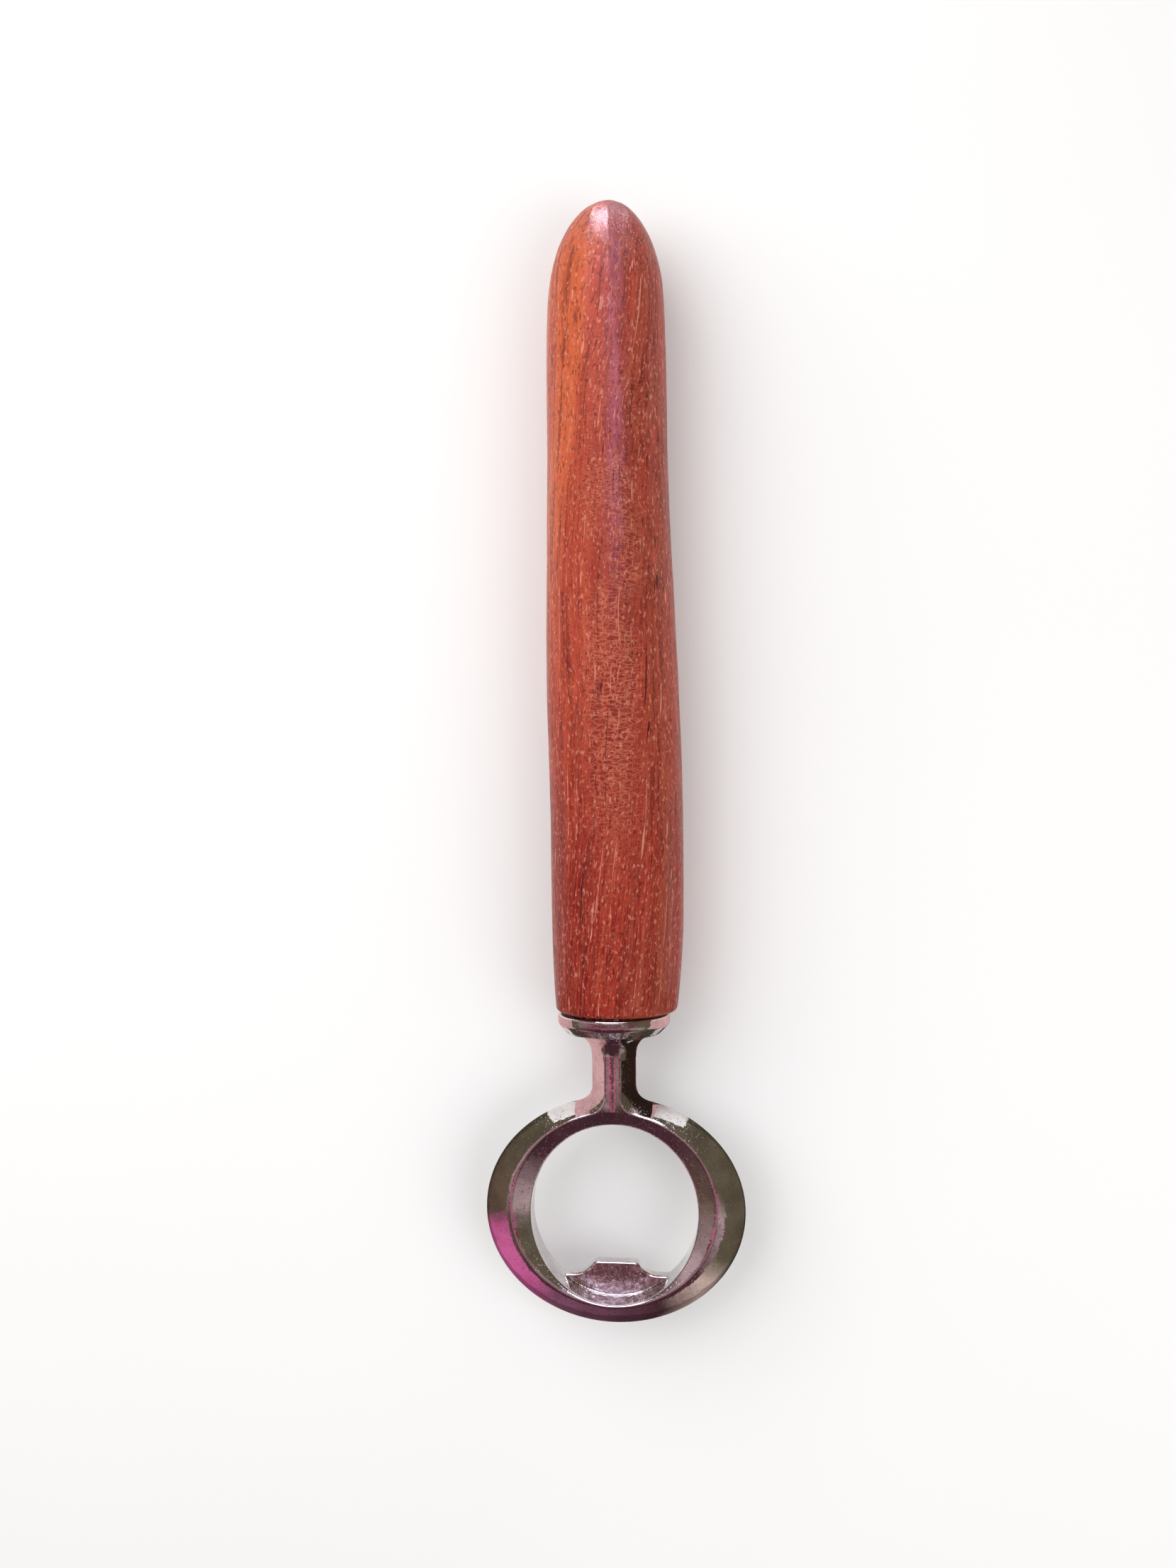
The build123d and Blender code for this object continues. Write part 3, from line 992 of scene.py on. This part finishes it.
def wood_material():
    """Oiled hardwood: the colour, the marks over it, and the unevenness of both."""
    n = Nodes("handle_wood")
    place = n.position_in_mm()
    grain = n.swirled(n.turned(place, (0, 0, GRAIN_LEAN)), 0.03, 5.0)
    colour, fibres = wood_colour(n, place, grain)
    cracks, scratches = long_marks(n, grain)
    net, zone = crazing(n, place)
    pores, flecks = short_marks(n, grain)
    colour = n.mix(n.times(zone, 0.50), colour, WOOD_UNDER_NET)
    # Painted sheen: a bluish reflection along the crest, mixed into the base colour.
    colour = n.mix(painted_violet_sheen(n, place), colour, PAINTED_VIOLET_SHEEN)
    colour = n.mix(n.times(pores, 0.55), colour, WOOD_CRACK)
    colour = n.mix(n.times(flecks, 0.42), colour, WOOD_FLECK)
    colour = n.mix(n.times(scratches, 0.55), colour, WOOD_FLECK)
    colour = n.mix(n.times(net, 0.52), colour, WOOD_NET)
    colour = n.mix(n.times(cracks, 0.90), colour, WOOD_CRACK)
    n.set_shader("Base Color", colour)
    cut_in = n.plus(n.times(cracks, -1.0), n.times(pores, -0.5))
    raised = n.plus(n.times(fibres, 0.7), n.times(net, 0.35))
    n.set_shader("Normal", n.bump(n.plus(cut_in, raised), 0.5, 0.16))
    n.set_shader("Roughness", n.spread(fibres, 0.3, 0.7, 0.32, 0.48))
    n.set_shader("Specular IOR Level", 0.12)
    n.set_shader("Coat Weight", 0.15)
    n.set_shader("Coat IOR", 1.42)
    n.set_shader("Coat Roughness", 0.2)
    return n.material


def as_cast(n, place):
    """Mask of the tongue's front, which the polishing wheel doesn't reach."""
    x, y, z = n.split(place)
    front = AXIS_Z + TONGUE_FRONT
    below = n.spread(z, front + 0.9, front + 0.5)
    above = n.spread(z, front - 0.9, front - 0.5)
    across = n.spread(n.math("ABSOLUTE", x), 8.4, 7.2)
    past_root = n.spread(y, TONGUE_TIP_Y - 5.8, TONGUE_TIP_Y - 4.4)
    before_tip = n.spread(y, TONGUE_TIP_Y, TONGUE_TIP_Y - 0.5)
    return n.times(n.times(above, below), n.times(across, n.times(past_root, before_tip)))


CHROME = (0.82, 0.79, 0.78)
CHROME_SMUDGED = (0.58, 0.53, 0.52)
CHROME_AS_CAST = (0.33, 0.235, 0.20)
CHROME_SPECK = (0.30, 0.25, 0.24)
CHROME_DUST = (0.92, 0.90, 0.88)


def chrome_material():
    """Bright chrome over a casting: faint waviness, smudges, dull specks and pale dust."""
    n = Nodes("head_chrome")
    place = n.position_in_mm()
    n.set_shader("Metallic", 1.0)
    smudge = n.noise(place, 0.16, detail=5.0, roughness=0.6)
    specks = n.spread(n.noise(place, 2.6, detail=2.0), 0.62, 0.70)
    dust = n.noise(n.scaled(place, (1, 1, 1), (50, 0, 0)), 3.0, detail=2.0)
    dust = n.spread(dust, 0.665, 0.705)
    tint = n.mix(n.spread(smudge, 0.36, 0.66), CHROME, CHROME_SMUDGED)
    cast = as_cast(n, place)
    mottle = n.noise(n.scaled(place, (1, 1, 1), (0, 0, 30)), 1.1, detail=5.0, roughness=0.7)
    tint = n.mix(n.times(cast, n.spread(mottle, 0.36, 0.58)), tint, CHROME_AS_CAST)
    tint = n.mix(n.times(specks, 0.5), tint, CHROME_SPECK)
    tint = n.mix(n.times(dust, 0.6), tint, CHROME_DUST)
    n.set_shader("Base Color", tint)
    rough = n.plus(n.spread(smudge, 0.4, 0.75, 0.05, 0.14), n.times(dust, 0.35))
    rough = n.plus(rough, n.times(cast, 0.10))
    n.set_shader("Roughness", rough)
    wave = n.noise(place, 0.30, detail=3.0)
    pits = n.math("SUBTRACT", wave, n.times(specks, 0.15))
    pits = n.plus(pits, n.times(cast, n.times(mottle, 0.5)))
    n.set_shader("Normal", n.bump(pits, 0.35, 0.3))
    return n.material


BRASS = (0.80, 0.60, 0.27)
BRASS_TARNISHED = (0.52, 0.36, 0.16)
STEEL = (0.66, 0.66, 0.63)
STEEL_TARNISHED = (0.45, 0.45, 0.44)


def turned_metal(name, colour, dull_colour, roughness):
    """Machined metal with fine rings across its axis and a little tarnish."""
    n = Nodes(name)
    place = n.position_in_mm()
    n.set_shader("Metallic", 1.0)
    tarnish = n.noise(place, 0.6, detail=5.0, roughness=0.65)
    rings = n.noise(n.scaled(place, (0.15, 14.0, 0.15)), 1.0, detail=3.0)
    tint = n.mix(n.spread(tarnish, 0.38, 0.68), colour, dull_colour)
    n.set_shader("Base Color", tint)
    dulled = n.spread(tarnish, 0.35, 0.7, roughness, roughness + 0.15)
    n.set_shader("Roughness", n.plus(n.spread(rings, 0.3, 0.7, 0.0, 0.16), dulled))
    n.set_shader("Normal", n.bump(rings, 0.3, 0.04))
    return n.material


def floor_material():
    """Pale paper, very slightly clouded."""
    n = Nodes("floor_paper")
    cloud = n.noise(n.position(), 6.0, detail=3.0)
    n.set_shader("Base Color", n.mix(cloud, (0.88, 0.88, 0.88), (0.93, 0.93, 0.93)))
    n.set_shader("Roughness", 0.9)
    n.set_shader("Specular IOR Level", 0.0)
    return n.material


# ===== stage =====
def make_floor():
    size = FLOOR_HALF_SIZE
    verts = [(-size, -size, 0), (size, -size, 0), (size, size, 0), (-size, size, 0)]
    floor = new_piece("floor", verts, [(0, 1, 2, 3)], floor_material(), smooth=False)


def seen_in_reflections_only(card):
    """A studio card that tints what shines, and neither shades the floor nor shows itself."""
    card.visible_camera = False
    card.visible_diffuse = False
    card.visible_shadow = False
    card.visible_transmission = False
    card.visible_volume_scatter = False


def glow(name):
    """The nodes of a new material that only glows. Their shader is the emission."""
    n = Nodes(name)
    n.tree.nodes.remove(n.shader)
    n.shader = n.add("ShaderNodeEmission")
    output = next(node for node in n.tree.nodes if node.type == "OUTPUT_MATERIAL")
    n.join(n.shader.outputs["Emission"], output.inputs["Surface"])
    return n


def bearing(n, place):
    """0 to 1 once round: 0 at -X, then -Y at a quarter, +X at a half, +Y at three quarters."""
    node = n.add("ShaderNodeTexGradient", gradient_type="RADIAL")
    n.join(place, node.inputs["Vector"])
    return node.outputs["Fac"]


def dome_material():
    """Room as the metal sees it: olive and plum walls, and a mauve ceiling with its cards."""
    n = glow("studio_dome")
    place = n.position()
    x, y, z = n.split(place)
    walls = n.ramp(bearing(n, place), ROOM_COLOURS)
    flat = n.math("SQRT", n.plus(n.times(x, x), n.times(y, y)))
    rise = n.math("DIVIDE", z, n.plus(flat, NEVER_ZERO))
    colour = n.mix(n.spread(rise, *CEILING_RISES), walls, CEILING_COLOUR)
    over_x = n.math("DIVIDE", x, n.plus(z, NEVER_ZERO))
    over_y = n.math("DIVIDE", y, n.plus(z, NEVER_ZERO))
    for (west, east, south, north), soft, shown in CEILING_CARDS:
        inside = n.spread(over_x, west - soft, west + soft)
        inside = n.times(inside, n.spread(over_x, east + soft, east - soft))
        inside = n.times(inside, n.spread(over_y, south - soft, south + soft))
        inside = n.times(inside, n.spread(over_y, north + soft, north - soft))
        colour = n.mix(inside, colour, shown)
    n.set_shader("Color", colour)
    n.set_shader("Strength", 1.0)
    return n.material


def make_dome():
    points = []
    for tilt in np.linspace(radians(1.0), radians(91.0), DOME_ROWS):
        for turn in round_turn(DOME_COLUMNS):
            flat = DOME_RADIUS * sin(tilt)
            points.append((flat * cos(turn), flat * sin(turn), DOME_RADIUS * cos(tilt)))
    faces = grid_faces(DOME_ROWS, DOME_COLUMNS) + [tuple(range(DOME_COLUMNS))]
    seen_in_reflections_only(new_piece("studio_dome", points, faces, dome_material()))


def tray_material():
    n = glow("studio_tray")
    place = n.position()
    x, y, z = n.split(place)
    centred = n.scaled(place, (1, 1, 1), (0, -TRAY_MIDDLE_Y * MM, 0))
    colour = n.ramp(bearing(n, centred), TRAY_COLOURS)
    low, high = TRAY_SHADE_HEIGHTS
    shade = n.spread(z, low * MM, high * MM, TRAY_FLOOR_SHADE, 1.0)
    n.set_shader("Color", colour)
    n.set_shader("Strength", shade)
    return n.material


def make_tray():
    """Open towards the handle; its floor leaves the middle of the opening clear."""
    inner = (HOLE_HALF_WIDTH + 2, HOLE_HALF_HEIGHT + 2)
    outer = (TRAY_HALF_WIDTH, TRAY_HALF_LENGTH)
    rings = [
        (*inner, HOLE_MIDDLE_Y, TRAY_FLOOR_Z),
        (*outer, TRAY_MIDDLE_Y, TRAY_FLOOR_Z),
        (*outer, TRAY_MIDDLE_Y, TRAY_HEIGHT),
    ]
    turns = np.linspace(radians(90 + TRAY_GAP), radians(450 - TRAY_GAP), TRAY_COLUMNS)
    points = []
    for across, along, middle, height in rings:
        for turn in turns:
            points.append((across * cos(turn), middle + along * sin(turn), height))
    faces = grid_faces(len(rings), TRAY_COLUMNS, closed=False)
    seen_in_reflections_only(new_piece("studio_tray", points, faces, tray_material()))


def card_material(name, colour):
    n = glow(name)
    n.set_shader("Color", (*colour, 1.0))
    n.set_shader("Strength", 1.0)
    return n.material


def make_card(name, corners, colour):
    card = new_piece(name, corners, [(0, 1, 2, 3)], card_material(name, colour))
    seen_in_reflections_only(card)


def neck_card(name, x, low_y, high_y, top, colour):
    """An upright card along the neck, at one place across it."""
    low, high = (x, low_y, NECK_CARD_BOTTOM), (x, high_y, NECK_CARD_BOTTOM)
    make_card(name, [low, high, (x, high_y, top), (x, low_y, top)], colour)


def make_neck_cards():
    """Pink to the neck's left, and to its right pink beside the collar and near black below."""
    start, split, end = NECK_CARD_START_Y, NECK_CARD_SPLIT_Y, NECK_CARD_END_Y
    near, wide = NECK_CARD_LOW_X, NECK_CARD_X
    neck_card("card_left_low", -near, start, split, NECK_CARD_LOW_TOP, DUSTY_PINK)
    neck_card("card_left_high", -wide, split, end, NECK_CARD_HIGH_TOP, DUSTY_PINK)
    neck_card("card_right_low", near, start, split, NECK_CARD_LOW_TOP, BLACK_OLIVE)
    neck_card("card_right_high", wide, split, end, NECK_CARD_HIGH_TOP, DUSTY_PINK)
    flat = [(-wide, start), (wide, start), (wide, end), (-wide, end)]
    make_card("card_under_neck", [(x, y, NECK_FLOOR_CARD_Z) for x, y in flat], MAROON)


def make_tip_card():
    """Low bright card past the handle's tip: the glint on the tip's very end."""
    west, east, y = TIP_CARD_WEST, TIP_CARD_EAST, TIP_CARD_Y
    low, high = TIP_CARD_BOTTOM, TIP_CARD_TOP
    corners = [(west, y, low), (east, y, low), (east, y, high), (west, y, high)]
    make_card("card_past_tip", corners, TIP_CARD_COLOUR)


def make_world():
    world = bpy.data.worlds.new("studio")
    bpy.context.scene.world = world
    world.use_nodes = True
    background = world.node_tree.nodes["Background"]
    background.inputs["Color"].default_value = (*WORLD_COLOUR, 1.0)
    background.inputs["Strength"].default_value = WORLD_STRENGTH


def area_light(name, place, aim, size, power):
    """A square lamp with sides of size, which doesn't show itself in what shines."""
    data = bpy.data.lights.new(name, "AREA")
    data.shape = "RECTANGLE"
    data.size, data.size_y = size * MM, size * MM
    data.energy = power
    light = bpy.data.objects.new(name, data)
    bpy.context.scene.collection.objects.link(light)
    light.location = Vector(place) * MM
    light.rotation_euler = (Vector(aim) - Vector(place)).to_track_quat("-Z", "Y").to_euler()
    light.visible_camera = False
    light.visible_glossy = False


def make_lights():
    area_light("key", (-260, 200, 330), (0, 20, 10), 520, KEY_LIGHT_POWER)
    area_light("fill", (260, -120, 330), (0, 0, 10), 300, FILL_LIGHT_POWER)


bpy.context.scene.view_settings.view_transform = "Standard"
make_camera()
make_floor()
make_world()
make_lights()
make_dome()
make_tray()
make_neck_cards()
make_tip_card()
make_handle(wood_material())
make_head(chrome_material())
make_insert(turned_metal("insert_brass", BRASS, BRASS_TARNISHED, 0.20))
make_stud(turned_metal("stud_steel", STEEL, STEEL_TARNISHED, 0.22))
